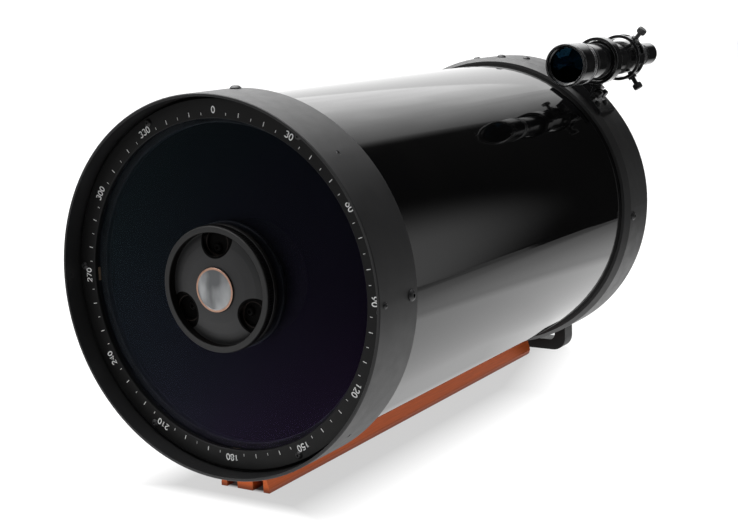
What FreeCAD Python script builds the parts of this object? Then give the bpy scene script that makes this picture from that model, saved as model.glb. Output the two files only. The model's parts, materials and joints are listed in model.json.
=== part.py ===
import FreeCAD, Part
import math
import os

import Sketcher
from FreeCAD import Placement, Rotation, Vector

# A Schmidt-Cassegrain telescope tube with its finder, in millimetres.
#
# Model frame: +X right and +Y to the rear, seen from the front; +Z up; the origin is the middle of the
# dovetail bar's flat underside.  Most pieces are turned about the optical axis.  Their own frame has its
# origin on that axis at the plane of the front lip, and its Y is the station, the distance behind the lip.

SIZES = [
    ("axis_height", 156.0, "optical axis above the dovetail bar's underside"),
    ("front_reach", 254.5, "front lip plane ahead of the origin"),
    # front cell and corrector
    ("cell_radius", 139.7, "outside of the front and rear cells"),
    ("lip_wall", 2.2, "wall of the front cell's lip"),
    ("front_cell_length", 51.0, "front cell along the axis"),
    ("seat_station", 18.0, "plane that the retaining ring sits on"),
    ("ledge_station", 23.5, "ledge behind the corrector's rear gasket"),
    ("clear_radius", 117.5, "clear aperture radius"),
    ("corrector_radius", 122.5, "edge of the corrector plate"),
    ("corrector_thickness", 4.8, "glass thickness of the corrector plate"),
    ("corrector_hole", 38.0, "radius of the corrector's central hole"),
    ("pocket_radius", 123.8, "pocket that centres the corrector"),
    ("ring_inner", 121.0, "inner edge of the retaining ring"),
    ("ring_circle", 131.1, "screw circle of the retaining ring"),
    ("ring_thickness", 3.5, "retaining ring thickness"),
    # tube and rear cell
    ("tube_radius", 133.4, "outside of the optical tube"),
    ("tube_wall", 1.6, "wall of the optical tube"),
    ("tube_start", 31.0, "front end of the tube, inside the front cell"),
    ("tube_end", 465.9, "rear end of the tube, inside the rear cell"),
    ("fit_gap", 0.05, "clearance of pieces that fit together"),
    ("rear_start", 445.0, "front edge of the rear cell"),
    ("rear_face", 512.0, "rear face of the rear cell"),
    ("rear_wall", 503.0, "inner face of the rear cell's wall"),
    ("boss_radius", 41.5, "threaded boss on the rear cell"),
    # secondary
    ("hub_radius", 46.1, "outside of the secondary housing"),
    ("hub_rim", 41.3, "inner edge of the secondary's front rim"),
    ("hub_front", 5.0, "front face of the secondary's rim"),
    ("collimation_circle", 29.5, "circle of the collimation screws"),
    ("cap_radius", 16.3, "centre cap of the secondary"),
    # primary and focuser
    ("primary_radius", 120.5, "edge of the primary mirror"),
    ("primary_curve", 1130.0, "radius of curvature of the primary mirror"),
    ("primary_vertex", 455.0, "station of the primary mirror's vertex"),
    ("primary_back", 468.6, "station of the primary mirror's flat back"),
    ("baffle_radius", 22.0, "outside of the primary baffle tube"),
    ("focus_offset", 84.0, "focus screw's distance from the optical axis"),
    ("focus_angle", 225.0, "focus screw's angle from +Z towards +X, degrees"),
    ("focus_screw_radius", 4.0, "focus screw radius"),
    ("bearing_radius", 9.5, "outside of the focuser's ball bearings"),
    ("eyepiece_bore", 15.9, "radius of the eyepiece socket"),
    ("socket_end", 562.0, "rear end of the visual back"),
    # dovetail bar
    ("bar_half_width", 22.0, "half the bar's width at its underside"),
    ("bar_start", 28.0, "front end of the bar"),
    ("bar_end", 481.0, "rear end of the bar"),
    ("bar_rise", 17.4, "height of the bar's edges"),
    ("bar_slope", 4.6, "how far each flank leans in over the bar's rise"),
    # finder
    ("finder_angle", 40.5, "finder's angle from +Z towards +X, degrees"),
    ("finder_reach", 180.0, "finder's axis from the optical axis"),
    ("finder_front", 356.0, "front of the finder's objective cell"),
    ("finder_pivot", 430.5, "station of the bracket's O-ring"),
    ("finder_screw_station", 485.5, "station of the finder's adjusting screws"),
    ("finder_screw_angle", 108.0, "lower adjusting screws, from the upper one, degrees"),
]

doc = FreeCAD.newDocument("telescope")
sheet = doc.addObject("Spreadsheet::Sheet", "sizes")
for row, (alias, number, meaning) in enumerate(SIZES, start=1):
    sheet.set("A%d" % row, alias)
    sheet.set("B%d" % row, str(number))
    sheet.setAlias("B%d" % row, alias)
    sheet.set("C%d" % row, meaning)
doc.recompute()


class Size:
    """A length that knows its number and the expression that binds it to the sheet."""

    def __init__(self, number, text):
        self.number = float(number)
        self.text = text

    def __add__(self, other):
        other = as_size(other)
        return Size(self.number + other.number, "(%s + %s)" % (self.text, other.text))

    def __sub__(self, other):
        other = as_size(other)
        return Size(self.number - other.number, "(%s - %s)" % (self.text, other.text))

    def __float__(self):
        return self.number


def size(alias):
    return Size(sheet.get(alias), "sizes." + alias)


def as_size(value):
    return value if isinstance(value, Size) else Size(value, repr(float(value)))


def bind(item, property_name, value):
    """Binds a property to the sheet where the value comes from it."""
    if isinstance(value, Size):
        item.setExpression(property_name, value.text)
    else:
        setattr(item, property_name, value)


CELL_R = size("cell_radius")
TUBE_R = size("tube_radius")
SEAT = size("seat_station")
LEDGE = size("ledge_station")
FIT = size("fit_gap")
REAR_FACE = size("rear_face")
REAR_WALL = size("rear_wall")
HUB_R = size("hub_radius")
HUB_FRONT = size("hub_front")
BAFFLE_R = size("baffle_radius")
PRIMARY_BACK = size("primary_back")

AXIS = Vector(0, 1, 0)
TUBE_FRAME = Placement(Vector(0, -float(size("front_reach")), float(size("axis_height"))), Rotation())
FINDER_TURN = Rotation(AXIS, float(size("finder_angle")))
SHOE_FRAME = Placement(TUBE_FRAME.Base, FINDER_TURN)
FINDER_FRAME = SHOE_FRAME.multiply(Placement(Vector(0, 0, float(size("finder_reach"))), Rotation()))

sub_parts = []


def finish(item, label, frame):
    """Names a sub-part and sets it in its frame."""
    item.Label = label
    item.Placement = frame
    sub_parts.append(item)
    return item


# ---------------------------------------------------------------- sketches and bodies

def origin_plane(body, role):
    return next(plane for plane in body.Origin.OriginFeatures if plane.Role == role)


def outline_sketch(body, name, plane, corners):
    """A closed outline of straight sides whose corners are bound to the sheet."""
    sketch = body.newObject("Sketcher::SketchObject", name)
    sketch.AttachmentSupport = [(origin_plane(body, plane), "")]
    sketch.MapMode = "FlatFace"
    points = [(as_size(x), as_size(y)) for x, y in corners]
    spots = [Vector(float(x), float(y), 0) for x, y in points]
    count = len(spots)
    sketch.addGeometry([Part.LineSegment(spots[i], spots[(i + 1) % count]) for i in range(count)])
    for i in range(count):
        sketch.addConstraint(Sketcher.Constraint("Coincident", i, 2, (i + 1) % count, 1))
    for i, (x, y) in enumerate(points):
        for kind, value, axis in (("DistanceX", x, -2), ("DistanceY", y, -1)):
            if abs(value.number) < 1e-9:
                sketch.addConstraint(Sketcher.Constraint("PointOnObject", i, 1, axis))
                continue
            index = sketch.addConstraint(Sketcher.Constraint(kind, -1, 1, i, 1, value.number))
            if "sizes" in value.text:
                sketch.setExpression("Constraints[%d]" % index, value.text)
    return sketch


def turned(label, corners, frame=TUBE_FRAME, keep=True):
    """A body turned about its own Y axis; corners are (radius, station) pairs."""
    body = doc.addObject("PartDesign::Body", label)
    sketch = outline_sketch(body, label + "_profile", "XY_Plane", corners)
    turn = body.newObject("PartDesign::Revolution", label + "_turn")
    turn.Profile = sketch
    turn.ReferenceAxis = (sketch, ["V_Axis"])
    turn.Angle = 360
    body.Tip = turn
    if keep:
        finish(body, label, frame)
    return body


def extruded(label, corners, start, length, keep=None):
    """A body whose outline lies across the axis, in (x, z) pairs, from one station along +Y."""
    body = doc.addObject("PartDesign::Body", label)
    sketch = outline_sketch(body, label + "_section", "XZ_Plane", corners)
    sketch.AttachmentOffset = Placement(Vector(0, 0, -float(start)), Rotation())
    pad = body.newObject("PartDesign::Pad", label + "_pad")
    pad.Profile = sketch
    pad.Reversed = True
    bind(pad, "Length", length)
    body.Tip = pad
    if keep is not None:
        finish(body, label, keep)
    return body


def side_plate(label, corners, width):
    """A body whose outline lies along the axis, in (y, z) pairs, as thick as width about X = 0."""
    body = doc.addObject("PartDesign::Body", label)
    sketch = outline_sketch(body, label + "_side", "YZ_Plane", corners)
    pad = body.newObject("PartDesign::Pad", label + "_pad")
    pad.Profile = sketch
    pad.Midplane = True
    bind(pad, "Length", width)
    body.Tip = pad
    return body


# ---------------------------------------------------------------- plain shapes for groups and cutters

def rod(radius, start, end, spot=(0, 0)):
    """A cylinder along Y between two stations, centred on spot = (x, z)."""
    start, end = float(start), float(end)
    return Part.makeCylinder(float(radius), end - start, Vector(spot[0], start, spot[1]), AXIS)


def spoke(radius, inner, outer, angle, station):
    """A cylinder along a radius of the frame, between two radii."""
    turn = math.radians(angle)
    way = Vector(math.sin(turn), 0, math.cos(turn))
    foot = way * float(inner) + Vector(0, float(station), 0)
    return Part.makeCylinder(float(radius), float(outer) - float(inner), foot, way)


def on_circle(radius, angle):
    turn = math.radians(angle)
    return float(radius) * math.sin(turn), float(radius) * math.cos(turn)


def round_screw(head_radius, head_height, shank_radius, shank_length, socket_radius):
    """A domed screw along +Z, its head's underside at Z = 0, with a hexagonal socket."""
    dome = 0.35 * head_height
    outline = [Vector(0, 0, -shank_length), Vector(shank_radius, 0, -shank_length),
               Vector(shank_radius, 0, 0), Vector(head_radius, 0, 0),
               Vector(head_radius, 0, head_height - 2 * dome),
               Vector(0.75 * head_radius, 0, head_height - 0.6 * dome),
               Vector(0.5 * head_radius, 0, head_height), Vector(0, 0, head_height),
               Vector(0, 0, -shank_length)]
    solid = Part.Face(Part.makePolygon(outline)).revolve(Vector(), Vector(0, 0, 1), 360)
    corners = [Vector(socket_radius * math.cos(k * math.pi / 3), socket_radius * math.sin(k * math.pi / 3),
                      0.35 * head_height) for k in range(7)]
    socket = Part.Face(Part.makePolygon(corners)).extrude(Vector(0, 0, head_height))
    return solid.cut(socket)


def placed(shape, spot, way):
    """A copy of a +Z shape, moved to spot and turned to point along way."""
    copy = shape.copy()
    copy.Placement = Placement(spot, Rotation(Vector(0, 0, 1), way))
    return copy


def radial_screw(shape, seat_radius, angle, station):
    turn = math.radians(angle)
    way = Vector(math.sin(turn), 0, math.cos(turn))
    return placed(shape, way * float(seat_radius) + Vector(0, float(station), 0), way)


def axial_screw(shape, radius, angle, station, way):
    x, z = on_circle(radius, angle)
    return placed(shape, Vector(x, float(station), z), AXIS * way)


def group(label, shapes, frame=TUBE_FRAME):
    """Separate solids of one kind, kept together as one node."""
    item = doc.addObject("Part::Feature", label)
    item.Shape = Part.makeCompound(shapes)
    return finish(item, label, frame)


def cutter(label, shapes):
    """One shape of all the holes of a piece, fused because some of them cross."""
    item = doc.addObject("Part::Feature", label)
    item.Shape = shapes[0].multiFuse(shapes[1:]) if len(shapes) > 1 else shapes[0]
    return item


def drilled(label, base, shapes, frame=TUBE_FRAME):
    """A base body with holes or hollows cut from it, all drawn in the base's own frame."""
    item = doc.addObject("Part::Cut", label)
    item.Base = base
    item.Tool = cutter(label + "_cutters", shapes)
    return finish(item, label, frame)


def joined(label, pieces):
    item = doc.addObject("Part::MultiFuse", label)
    item.Shapes = pieces
    return item


# ---------------------------------------------------------------- front cell and corrector

RING_ANGLES = [-27 + 60 * k for k in range(6)]
SIDE_ANGLES = [0, 90, 270]
DIAGONAL_ANGLES = [45, 135, 225, 315]
FRONT_SCREW_STATION = 42.0
CENTRING_STATION = 20.6
LIP_SCREW_STATION = 7.0
BAR_SCREW_STATIONS = [36.0, 47.0, 454.0, 474.0]

ring_screw = round_screw(2.75, 1.6, 1.5, 8.0, 1.2)
cell_screw = round_screw(4.2, 2.2, 2.0, 5.6, 1.6)
small_screw = round_screw(2.4, 1.2, 1.25, 2.6, 0.95)
set_screw = round_screw(1.8, 0.9, 1.8, 14.6, 0.95)


def bar_screw_holes():
    down = 180
    return [spoke(2.55, 130, 158, down, station) for station in BAR_SCREW_STATIONS]


def front_cell():
    lip = CELL_R - size("lip_wall")
    skirt = TUBE_R + FIT
    end = size("front_cell_length")
    body = turned("front_cell_body", [
        (lip, 0), (CELL_R - 0.6, 0), (CELL_R, 0.6), (CELL_R, end - 0.8), (CELL_R - 0.8, end),
        (skirt, end), (skirt, size("tube_start")), (127.0, size("tube_start")), (127.0, 28.5),
        (size("clear_radius"), 28.5), (size("clear_radius"), LEDGE), (size("pocket_radius"), LEDGE),
        (size("pocket_radius"), SEAT), (lip, SEAT)], keep=False)
    circle = size("ring_circle")
    holes = [rod(1.55, SEAT - 1, SEAT + 8.5, on_circle(circle, angle)) for angle in RING_ANGLES]
    holes += [spoke(2.05, 131, 141, angle, FRONT_SCREW_STATION) for angle in SIDE_ANGLES]
    holes += [spoke(1.85, 122, 141, angle, CENTRING_STATION) for angle in DIAGONAL_ANGLES]
    holes += [spoke(1.3, 135, 141, angle, LIP_SCREW_STATION) for angle in (90, 270)]
    drilled("front_cell", body, holes + bar_screw_holes()[:2])
    group("front_cell_screws", [radial_screw(cell_screw, CELL_R + FIT, angle, FRONT_SCREW_STATION)
                                for angle in SIDE_ANGLES])
    group("corrector_centring_screws", [radial_screw(set_screw, CELL_R - 0.9, angle, CENTRING_STATION)
                                        for angle in DIAGONAL_ANGLES])
    group("lip_screws", [radial_screw(small_screw, CELL_R + FIT, angle, LIP_SCREW_STATION)
                         for angle in (90, 270)])


def corrector():
    edge = size("corrector_radius")
    back = LEDGE - 0.5
    front = back - size("corrector_thickness")
    turned("corrector_plate", [(size("corrector_hole"), front), (edge, front), (edge, back),
                               (size("corrector_hole"), back)])
    turned("corrector_gasket", [(size("clear_radius") + 0.4, back), (edge, back), (edge, LEDGE),
                                (size("clear_radius") + 0.4, LEDGE)])
    shims = []
    for angle in (0, 90, 180, 270):
        x, z = on_circle(edge + 0.65, angle)
        shim = Part.makeBox(10.0, 4.0, 1.1, Vector(-5.0, float(front) + 0.3, -0.55))
        shims.append(placed_flat(shim, x, z, angle))
    group("corrector_shims", shims)

    inner, outer = size("ring_inner"), CELL_R - size("lip_wall") - 0.3
    face = SEAT - size("ring_thickness")
    body = turned("retaining_ring_body", [
        (inner, face + 0.4), (inner + 0.4, face), (outer - 2.3, face), (outer - 1.0, face + 1.4),
        (outer, SEAT), (inner, SEAT)], keep=False)
    circle = size("ring_circle")
    drilled("corrector_retaining_ring", body,
            [rod(1.55, face - 1, SEAT + 1, on_circle(circle, angle)) for angle in RING_ANGLES])
    group("retaining_ring_screws",
          [axial_screw(ring_screw, circle, angle, face, -1) for angle in RING_ANGLES])


def placed_flat(shape, x, z, angle):
    copy = shape.copy()
    copy.Placement = Placement(Vector(x, 0, z), Rotation(AXIS, angle))
    return copy


# ---------------------------------------------------------------- secondary mirror assembly

SCOOP_ANGLES = [0, 120, 240]
PIVOT_STATION = 15.6
PLATE_BACK = 14.4


def secondary():
    glass_front = LEDGE - 0.5 - size("corrector_thickness")
    neck = size("corrector_hole") - 0.4
    turned("secondary_housing", [
        (41.6, 13.3), (43.2, 13.3), (43.2, 16.1), (HUB_R, 16.1), (HUB_R, glass_front - 0.6),
        (neck, glass_front - 0.6), (neck, 31.0), (35.4, 31.0), (35.4, 15.6), (41.6, 15.6)])
    turned("secondary_front_gasket", [(neck + 0.5, glass_front - 0.6), (HUB_R - 0.6, glass_front - 0.6),
                                      (HUB_R - 0.6, glass_front), (neck + 0.5, glass_front)])
    turned("secondary_lock_ring", [(neck + FIT, LEDGE - 0.4), (46.6, LEDGE - 0.4), (46.6, 26.0),
                                   (45.8, 26.8), (neck + FIT, 26.8)])
    turned("secondary_baffle", [(neck + FIT, 27.0), (42.5, 27.0), (44.0, 57.0), (43.0, 57.0),
                                (41.5, 28.2), (39.6, 28.2), (39.6, 30.8), (neck + FIT, 30.8)])
    rim = size("hub_rim")
    turned("secondary_retaining_ring", [
        (rim, HUB_FRONT + 0.5), (rim + 0.5, HUB_FRONT), (HUB_R - 0.8, HUB_FRONT), (HUB_R, HUB_FRONT + 0.8),
        (HUB_R, 12.4), (HUB_R - 0.7, 12.8), (HUB_R - 0.7, 13.4), (HUB_R, 13.8), (HUB_R, 16.0),
        (43.25, 16.0), (43.25, 11.4), (rim, 11.4)])

    cap, circle = size("cap_radius"), size("collimation_circle")
    plate = turned("backplate_body", [
        (0, 7.2), (cap - 0.5, 7.2), (cap + 0.3, 5.9), (25.0, 7.0), (33.0, 8.8), (39.0, 10.9), (40.6, 11.5),
        (43.1, 11.5), (43.1, 13.2), (41.3, 13.2), (41.3, PLATE_BACK), (0, PLATE_BACK)], keep=False)
    pocket_depth, seat_depth, scoop_middle, scoop_radius, well_radius = 10.9, 12.6, 36.0, 12.2, 8.6
    hollows = [rod(2.8, 13.0, 15, (0, 0))]
    for angle in SCOOP_ANGLES:
        scoop = rod(scoop_radius, 4, pocket_depth, (0, scoop_middle)).common(rod(40.4, 3, 16))
        well = rod(well_radius, 4, seat_depth, (0, scoop_middle - 3.4)).common(rod(39.6, 3, 16))
        for hollow in (scoop, well):
            hollow.rotate(Vector(), AXIS, angle)
            hollows.append(hollow)
        hollows.append(rod(2.1, 7, 15, on_circle(circle, angle)))
    drilled("secondary_backplate", plate, hollows)

    turned("secondary_cap", [(0, 4.9), (cap - 2.0, 4.9), (cap - 1.7, 4.5), (cap - 0.3, 4.5), (cap, 4.8),
                             (cap, 5.8), (cap - 0.55, 5.8), (cap - 0.55, 7.2), (0, 7.2)])

    ball = doc.addObject("Part::Sphere", "secondary_pivot_ball")
    ball.Radius = 2.5
    pivot = Placement(Vector(0, PIVOT_STATION, 0), Rotation())
    finish(ball, "secondary_pivot_ball", TUBE_FRAME.multiply(pivot))

    holder = turned("holder_body", [(0, 16.8), (34.5, 16.8), (34.5, 19.8), (25.0, 19.8), (25.0, 34.0),
                                     (0, 34.0)],
                    keep=False)
    drilled("secondary_mirror_holder", holder, [rod(2.8, 16.0, 18.2)]
            + [rod(2.4, 16.0, 21.0, on_circle(circle, angle)) for angle in SCOOP_ANGLES])
    edge, glue, vertex, curve = 33.0, 34.05, 42.05, 330.8
    ball_of_glass = Part.makeSphere(curve, Vector(0, vertex - curve, 0))
    group("secondary_mirror", [rod(edge, glue, vertex + 1).common(ball_of_glass)])

    screw = round_screw(3.4, 2.3, 1.9, 6.2, 1.6)
    for number, angle in enumerate(SCOOP_ANGLES, start=1):
        group("collimation_screw_%d" % number, [axial_screw(screw, circle, angle, seat_depth - 0.03, -1)])


# ---------------------------------------------------------------- tube and rear cell

REAR_SCREW_ANGLES = [3, 93, 273]
REAR_SCREW_STATION = 457.0
PLUG_ANGLES = [-11, 11]
PLUG_STATION = 472.0
HANDLE_SCREW_SPOTS = [(-45.6, -112.0), (45.6, -112.0)]
SHOE_SCREW_ANGLES = [-7.1, 7.1]
SHOE_SCREW_STATIONS = [457.0, 474.0]


def focus_spot():
    return on_circle(size("focus_offset"), float(size("focus_angle")))


def tube():
    start, end = size("tube_start"), size("tube_end")
    body = turned("tube_body", [(TUBE_R - size("tube_wall"), start), (TUBE_R, start), (TUBE_R, end),
                                (TUBE_R - size("tube_wall"), end)], keep=False)
    holes = [spoke(2.05, 130, 135, angle, FRONT_SCREW_STATION) for angle in SIDE_ANGLES]
    holes += [spoke(2.05, 130, 135, angle, REAR_SCREW_STATION) for angle in REAR_SCREW_ANGLES]
    holes += [spoke(1.3, 130, 135, float(size("finder_angle")) + angle, SHOE_SCREW_STATIONS[0])
              for angle in SHOE_SCREW_ANGLES]
    drilled("optical_tube", body, holes + bar_screw_holes()[:3])


def rear_cell():
    start = size("rear_start")
    skirt = TUBE_R + FIT
    boss = size("boss_radius")
    body = turned("rear_cell_body", [
        (skirt, start), (CELL_R - 3.4, start), (CELL_R, start + 7), (CELL_R, REAR_FACE - 18),
        (CELL_R - 5.1, REAR_FACE - 4), (CELL_R - 8.7, REAR_FACE), (112.0, REAR_FACE), (108.0, REAR_FACE - 3),
        (60.0, REAR_FACE - 3), (54.0, REAR_FACE), (boss, REAR_FACE), (boss, REAR_FACE + 10),
        (30.0, REAR_FACE + 10), (30.0, REAR_WALL + 3), (BAFFLE_R + FIT, REAR_WALL + 3),
        (BAFFLE_R + FIT, REAR_WALL), (124.0, REAR_WALL), (128.0, REAR_WALL - 4),
        (128.0, size("tube_end") + 0.1), (skirt, size("tube_end") + 0.1)], keep=False)
    holes = [spoke(2.05, 131, 142, angle, REAR_SCREW_STATION) for angle in REAR_SCREW_ANGLES]
    holes += [spoke(1.85, 127, 142, angle, PLUG_STATION) for angle in PLUG_ANGLES]
    holes += [spoke(1.3, 131, 142, float(size("finder_angle")) + angle, station)
              for angle in SHOE_SCREW_ANGLES for station in SHOE_SCREW_STATIONS]
    holes.append(rod(13.05, REAR_WALL - 1, REAR_FACE, focus_spot()))
    holes += [rod(1.3, REAR_WALL - 1, REAR_FACE, spot) for spot in housing_screw_spots()]
    holes += [rod(2.05, REAR_FACE - 7.5, REAR_FACE + 1, spot) for spot in HANDLE_SCREW_SPOTS]
    drilled("rear_cell", body, holes + bar_screw_holes()[2:])
    group("rear_cell_screws", [radial_screw(cell_screw, CELL_R + FIT, angle, REAR_SCREW_STATION)
                               for angle in REAR_SCREW_ANGLES])
    plug = round_screw(3.4, 1.8, 1.8, 8.0, 1.4)
    group("accessory_plug_screws", [radial_screw(plug, CELL_R + FIT, angle, PLUG_STATION)
                                    for angle in PLUG_ANGLES])


def rear_fittings():
    boss = size("boss_radius")
    turned("rear_adapter", [
        (boss + FIT, REAR_FACE + 2), (boss + 5, REAR_FACE + 2), (boss + 5, REAR_FACE + 14.2),
        (boss + 4.2, REAR_FACE + 15), (25.4, REAR_FACE + 15), (25.4, REAR_FACE + 22), (22.5, REAR_FACE + 22),
        (22.5, REAR_FACE + 10.2), (boss + FIT, REAR_FACE + 10.2)])
    bore, end = size("eyepiece_bore"), size("socket_end")
    collar = REAR_FACE + 15.3
    socket = turned("visual_back_body", [
        (25.45, collar), (29.2, collar), (30.0, collar + 0.8), (30.0, collar + 9), (21.5, collar + 11),
        (21.5, end - 3), (22.5, end - 2.4), (22.5, end - 0.6), (21.9, end), (bore, end),
        (bore, REAR_FACE + 22.4),
        (25.45, REAR_FACE + 22.4)], keep=False)
    station = float(end) - 12
    drilled("visual_back", socket, [spoke(2.04, 15, 23, angle, station) for angle in (-60, 60)])
    for number, angle in enumerate((-60, 60), start=1):
        turn = Rotation(AXIS, angle)
        frame = TUBE_FRAME.multiply(Placement(Vector(0, station, 0), turn))
        thumbscrew("visual_back_thumbscrew_%d" % number, float(bore) + 0.3, 25.5, 5.0, 7.0, frame)


def thumbscrew(label, tip, neck, head_radius, head_length, frame):
    """A thumbscrew along its frame's Z: a plain shank from the tip to the neck, then a round head."""
    shank = 2.0
    outline = [(0, tip), (shank - 0.4, tip), (shank, tip + 0.4), (shank, neck), (head_radius - 0.5, neck),
               (head_radius, neck + 0.5), (head_radius, neck + head_length - 0.5),
               (head_radius - 0.5, neck + head_length), (0, neck + head_length), (0, tip)]
    solid = Part.Face(Part.makePolygon([Vector(x, 0, z) for x, z in outline])).revolve(
        Vector(), Vector(0, 0, 1), 360)
    item = doc.addObject("Part::Feature", label)
    item.Shape = solid
    return finish(item, label, frame)


def rear_handle():
    """A U loop across the bottom, with tabs on the rear face; the cell's round body trims its legs."""
    outer_half, inner_half = 51.2, 40.0
    bottom, shelf, top = -155.5, -145.3, -104.0
    front, back = 500.0, 518.0
    outer_round, inner_round = 13.0, 6.0
    diagonal = math.sqrt(0.5)

    def corner(side, half, level, radius):
        middle = Vector(side * (half - radius), front, level + radius)
        return Part.Arc(middle + Vector(side * radius, 0, 0),
                        middle + Vector(side * radius * diagonal, 0, -radius * diagonal),
                        middle + Vector(0, 0, -radius)).toShape()

    def line(a, b):
        return Part.LineSegment(Vector(a[0], front, a[1]), Vector(b[0], front, b[1])).toShape()

    edges = []
    for half, level, radius in ((outer_half, bottom, outer_round), (inner_half, shelf, inner_round)):
        edges += [corner(side, half, level, radius) for side in (-1, 1)]
        edges.append(line((-half + radius, level), (half - radius, level)))
        edges += [line((side * half, level + radius), (side * half, top)) for side in (-1, 1)]
    edges += [line((side * inner_half, top), (side * outer_half, top)) for side in (-1, 1)]
    outline = Part.Face(Part.Wire(Part.sortEdges(edges)[0]))
    loop = doc.addObject("Part::Feature", "handle_loop")
    loop.Shape = outline.extrude(AXIS * (back - front))
    clearance = 0.1
    trims = [rod(CELL_R + 0.4, front - 1, REAR_FACE + clearance)]
    trims += [rod(2.1, REAR_FACE, back + 1, spot) for spot in HANDLE_SCREW_SPOTS]
    trims += [rod(4.4, back - 2.2, back + 1, spot) for spot in HANDLE_SCREW_SPOTS]
    drilled("rear_handle", loop, trims)
    screw = round_screw(4.1, 2.1, 2.0, 10.5, 1.6)
    group("handle_screws", [placed(screw, Vector(x, back - 2.2, z), AXIS) for x, z in HANDLE_SCREW_SPOTS])


# ---------------------------------------------------------------- primary mirror and focuser

def primary():
    edge, vertex, back = float(size("primary_radius")), float(size("primary_vertex")), float(PRIMARY_BACK)
    curve, hole = float(size("primary_curve")), 26.5

    def sag(radius):
        return vertex - (curve - math.sqrt(curve ** 2 - radius ** 2))

    between = edge * 0.6
    arc = Part.Arc(Vector(hole, sag(hole), 0), Vector(between, sag(between), 0), Vector(edge, sag(edge), 0))
    sides = Part.makePolygon([Vector(edge, sag(edge), 0), Vector(edge, back, 0), Vector(hole, back, 0),
                              Vector(hole, sag(hole), 0)])
    wire = Part.Wire(Part.sortEdges(sides.Edges + [arc.toShape()])[0])
    group("primary_mirror", [Part.Face(wire).revolve(Vector(), AXIS, 360)])

    sleeve = BAFFLE_R + FIT
    body = turned("carrier_body", [
        (sleeve, 446.0), (26.3, 446.0), (26.3, PRIMARY_BACK + 0.2), (58.0, PRIMARY_BACK + 0.2),
        (58.0, PRIMARY_BACK + 5.4), (27.5, PRIMARY_BACK + 5.4), (27.5, 490.0), (sleeve, 490.0)], keep=False)
    x, z = focus_spot()
    plate_start, plate_end = PRIMARY_BACK + 0.2, PRIMARY_BACK + 5.4
    arm_base = doc.addObject("Part::Feature", "carrier_arm")
    boss = rod(12.0, plate_start, plate_end, (x, z))
    thickness = float(plate_end) - float(plate_start)
    bridge = Part.makeBox(20.0, thickness, 50.0, Vector(-10.0, float(plate_start), 34.0))
    bridge.rotate(Vector(), AXIS, float(size("focus_angle")))
    arm_base.Shape = boss.fuse(bridge)
    carrier = joined("carrier_with_arm", [body, arm_base])
    drilled("mirror_carrier", carrier, [rod(7.0, PRIMARY_BACK - 1, PRIMARY_BACK + 7, (x, z))])
    turned("mirror_lock_ring", [(26.35, 449.2), (34.0, 449.2), (34.0, 454.0), (26.35, 454.0)])
    turned("primary_baffle_tube", [
        (BAFFLE_R - 1.7, 290.0), (BAFFLE_R, 290.0), (BAFFLE_R, REAR_WALL + 3), (29.9, REAR_WALL + 3),
        (29.9, REAR_WALL + 6.4), (BAFFLE_R - 1.7, REAR_WALL + 6.4)])


def housing_screw_spots():
    x, z = focus_spot()
    spots = []
    for angle in (30, 150, 270):
        dx, dz = on_circle(16.6, angle)
        spots.append((x + dx, z + dz))
    return spots


def focuser():
    x, z = focus_spot()
    frame = TUBE_FRAME.multiply(Placement(Vector(x, 0, z), Rotation()))
    screw, bearing = size("focus_screw_radius"), size("bearing_radius")
    turned("focus_nut", [(screw + FIT, PRIMARY_BACK + 0.4), (7.0, PRIMARY_BACK + 0.4), (7.0, 494.0),
                         (screw + FIT, 494.0)], frame)
    turned("focus_screw", [(0, 480.5), (screw - 0.6, 480.5), (screw, 481.1), (screw, 503.6), (5.2, 503.6),
                           (5.2, 504.9), (screw, 504.9), (screw, 541.0), (0, 541.0)], frame)
    housing = turned("bearing_housing_body", [
        (6.0, REAR_WALL), (13.0, REAR_WALL), (13.0, REAR_FACE - 3), (20.5, REAR_FACE - 3),
        (20.5, REAR_FACE + 1),
        (13.5, REAR_FACE + 1), (13.5, REAR_FACE + 9), (bearing, REAR_FACE + 9), (bearing, REAR_FACE - 7),
        (6.0, REAR_FACE - 7)], keep=False)
    local_spots = [(a - x, b - z) for a, b in housing_screw_spots()]
    drilled("focus_bearing_housing", housing,
            [rod(1.3, REAR_FACE - 4, REAR_FACE + 2, spot) for spot in local_spots],
            frame)
    screw_shape = round_screw(2.6, 1.6, 1.25, 8.5, 1.1)
    group("focus_housing_screws", [placed(screw_shape, Vector(a, float(REAR_FACE) + 1, b), AXIS)
                                   for a, b in housing_screw_spots()])
    outer_rings, inner_rings = [], []
    for start in (505.1, 513.8):
        outer_rings.append(rod(bearing, start, start + 6).cut(rod(8.0, start - 1, start + 7)))
        inner_rings.append(rod(5.4, start, start + 6).cut(rod(float(screw) + 0.02, start - 1, start + 7)))
        for ball in range(8):
            ball_x, ball_z = on_circle(6.7, 45 * ball)
            inner_rings.append(Part.makeSphere(1.25, Vector(ball_x, start + 3, ball_z)))
    group("focus_bearing_outer_rings", outer_rings, frame)
    group("focus_bearing_inner_rings", inner_rings, frame)
    turned("focus_knob", [(screw + 0.02, 521.5), (6.0, 521.5), (13.5, 523.0), (13.5, 548.0), (12.0, 549.5),
                          (0, 549.5), (0, 541.2), (screw + 0.02, 541.2)], frame)
    turned("focus_knob_grip", [(13.5 + 0.02, 525.0), (16.0, 525.0), (16.8, 525.8), (16.8, 546.2), (16.0, 547.0),
                               (13.5 + 0.02, 547.0)], frame)


# ---------------------------------------------------------------- dovetail bar

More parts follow.
